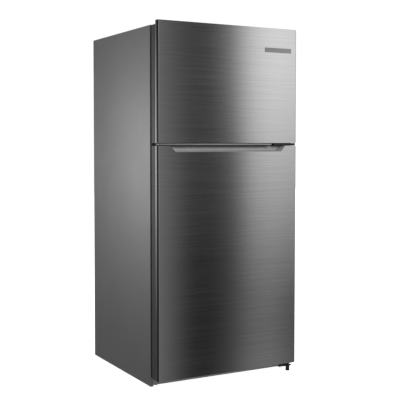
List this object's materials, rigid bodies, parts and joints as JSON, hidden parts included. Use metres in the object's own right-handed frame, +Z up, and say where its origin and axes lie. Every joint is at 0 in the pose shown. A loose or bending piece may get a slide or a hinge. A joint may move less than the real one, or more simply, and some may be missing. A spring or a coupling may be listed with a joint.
{
  "type": "top freezer refrigerator",
  "caption": "Free-standing refrigerator with an upper freezer door and a lower fresh-food door, both hinged at the right, with shelves, bins, crispers and a rear machine room.",
  "frame": {"origin": "on the floor, under the middle of the object's outline", "axes": "+Z up, the doors face -Y, +X to the right for a person facing the doors"},
  "size_m": [0.75, 0.7862, 1.675],
  "materials": {
    "cabinet_paint": "satin",
    "zinc_sheet": "satin",
    "rail_steel": "satin",
    "kick_grey": "satin",
    "stainless": "satin",
    "frame_grey": "satin",
    "pocket_grey": "satin",
    "gasket_black": "matte",
    "liner_white": "gloss",
    "trim_white": "gloss",
    "clear_plastic": "gloss",
    "shelf_glass": "polished",
    "hinge_black": "satin",
    "cover_grey": "matte",
    "screw_zinc": "satin",
    "bush_nylon": "satin",
    "foam": "matte",
    "shelf_wire": "gloss",
    "lens": "gloss",
    "slide_blue": "gloss",
    "fin_aluminium": "satin",
    "motor_grey": "satin",
    "fan_plastic": "satin",
    "compressor_black": "satin",
    "mount_rubber": "matte",
    "condenser_black": "satin",
    "rear_black": "matte",
    "badge_steel": "polished",
    "foot_black": "satin",
    "roller_grey": "satin"
  },
  "bodies": {
    "cabinet": {"cabinet_wrap": "cabinet_paint", "back_panel": "zinc_sheet", "base_pan": "zinc_sheet", "insulation_foam": "foam", "freezer_liner": "liner_white", "fridge_liner": "liner_white", "cross_rail": "rail_steel", "kick_plate": "kick_grey", "top_hinge": "hinge_black", "hinge_cover": "cover_grey", "middle_hinge": "hinge_black", "bottom_hinge": "hinge_black", "hinge_screws": "screw_zinc", "freezer_shelf": "shelf_wire", "glass_shelves": "shelf_glass", "shelf_fittings": "trim_white", "crisper_cover": "trim_white", "control_box": "trim_white", "lamp_lens": "lens", "door_switch": "trim_white", "duct_panel": "trim_white", "evaporator": "fin_aluminium", "fan_motors": "motor_grey", "compressor": "compressor_black", "compressor_mounts": "mount_rubber", "condenser_coil": "condenser_black", "drip_tray": "rear_black", "machine_cover": "rear_black", "rear_spacers": "rear_black", "power_inlet": "rear_black"},
    "freezer_door": {"freezer_door_skin": "stainless", "freezer_door_frame": "frame_grey", "freezer_door_foam": "foam", "freezer_door_liner": "liner_white", "freezer_door_gasket": "gasket_black", "freezer_door_bins": "clear_plastic", "freezer_door_bushes": "bush_nylon", "badge_plate": "badge_steel"},
    "fridge_door": {"fridge_door_skin": "stainless", "fridge_door_frame": "frame_grey", "fridge_door_foam": "foam", "fridge_door_liner": "liner_white", "fridge_door_gasket": "gasket_black", "fridge_door_bins": "clear_plastic", "fridge_door_bushes": "bush_nylon", "grip_pocket": "pocket_grey"},
    "crisper_left": {"crisper_left": "clear_plastic"},
    "crisper_right": {"crisper_right": "clear_plastic"},
    "humidity_left": {"humidity_left": "slide_blue"},
    "humidity_right": {"humidity_right": "slide_blue"},
    "dairy_flap": {"dairy_flap": "clear_plastic"},
    "temperature_knob": {"temperature_knob": "trim_white"},
    "freezer_slider": {"freezer_slider": "slide_blue"},
    "switch_plunger": {"switch_plunger": "trim_white"},
    "evaporator_fan": {"evaporator_fan": "fan_plastic"},
    "condenser_fan": {"condenser_fan": "fan_plastic"},
    "roller_left": {"roller_left": "roller_grey"},
    "roller_right": {"roller_right": "roller_grey"},
    "foot_left": {"foot_left": "foot_black"},
    "foot_right": {"foot_right": "foot_black"}
  },
  "joints": [
    {"name": "freezer_door_hinge", "type": "hinge", "parent": "cabinet", "child": "freezer_door", "pos_m": [0.355, -0.3559, 1.4], "axis": [0, 0, 1], "range_deg": [0, 120]},
    {"name": "fridge_door_hinge", "type": "hinge", "parent": "cabinet", "child": "fridge_door", "pos_m": [0.355, -0.3559, 0.58], "axis": [0, 0, 1], "range_deg": [0, 120]},
    {"name": "crisper_left_slide", "type": "slide", "parent": "cabinet", "child": "crisper_left", "axis": [0, -1, 0], "range_m": [0, 0.181]},
    {"name": "crisper_right_slide", "type": "slide", "parent": "cabinet", "child": "crisper_right", "axis": [0, -1, 0], "range_m": [0, 0.181]},
    {"name": "humidity_left_slide", "type": "slide", "parent": "cabinet", "child": "humidity_left", "axis": [1, 0, 0], "range_m": [-0.02, 0.02]},
    {"name": "humidity_right_slide", "type": "slide", "parent": "cabinet", "child": "humidity_right", "axis": [1, 0, 0], "range_m": [-0.02, 0.02]},
    {"name": "dairy_flap_hinge", "type": "hinge", "parent": "fridge_door", "child": "dairy_flap", "pos_m": [-0.15, -0.2439, 1.0375], "axis": [1, 0, 0], "range_deg": [0, 91]},
    {"name": "temperature_knob_turn", "type": "hinge", "parent": "cabinet", "child": "temperature_knob", "pos_m": [0.07, -0.1859, 1.059], "axis": [0, -1, 0], "range_deg": [-135, 135]},
    {"name": "freezer_slider_slide", "type": "slide", "parent": "cabinet", "child": "freezer_slider", "axis": [1, 0, 0], "range_m": [-0.02, 0.02]},
    {"name": "switch_plunger_slide", "type": "slide", "parent": "cabinet", "child": "switch_plunger", "axis": [0, -1, 0], "range_m": [0, 0.0052]},
    {"name": "evaporator_fan_spin", "type": "hinge", "parent": "cabinet", "child": "evaporator_fan", "pos_m": [0, 0.2796, 1.52], "axis": [0, 1, 0], "continuous": true},
    {"name": "condenser_fan_spin", "type": "hinge", "parent": "cabinet", "child": "condenser_fan", "pos_m": [-0.053, 0.2656, 0.13], "axis": [1, 0, 0], "continuous": true},
    {"name": "roller_left_spin", "type": "hinge", "parent": "cabinet", "child": "roller_left", "pos_m": [-0.315, 0.3131, 0.015], "axis": [1, 0, 0], "continuous": true},
    {"name": "roller_right_spin", "type": "hinge", "parent": "cabinet", "child": "roller_right", "pos_m": [0.315, 0.3131, 0.015], "axis": [1, 0, 0], "continuous": true},
    {"name": "foot_left_turn", "type": "hinge", "parent": "cabinet", "child": "foot_left", "pos_m": [-0.33, -0.2689, 0.0025], "axis": [0, 0, 1], "continuous": true},
    {"name": "foot_right_turn", "type": "hinge", "parent": "cabinet", "child": "foot_right", "pos_m": [0.355, -0.3559, 0.01], "axis": [0, 0, 1], "continuous": true}
  ],
  "couplings": [
    {"joint": "crisper_left_slide", "follows": "fridge_door_hinge", "m_per_rad": 0.08594},
    {"joint": "crisper_right_slide", "follows": "fridge_door_hinge", "m_per_rad": 0.08594},
    {"joint": "dairy_flap_hinge", "follows": "fridge_door_hinge", "ratio": 0.75},
    {"joint": "switch_plunger_slide", "follows": "fridge_door_hinge", "m_per_rad": 0.002387}
  ]
}
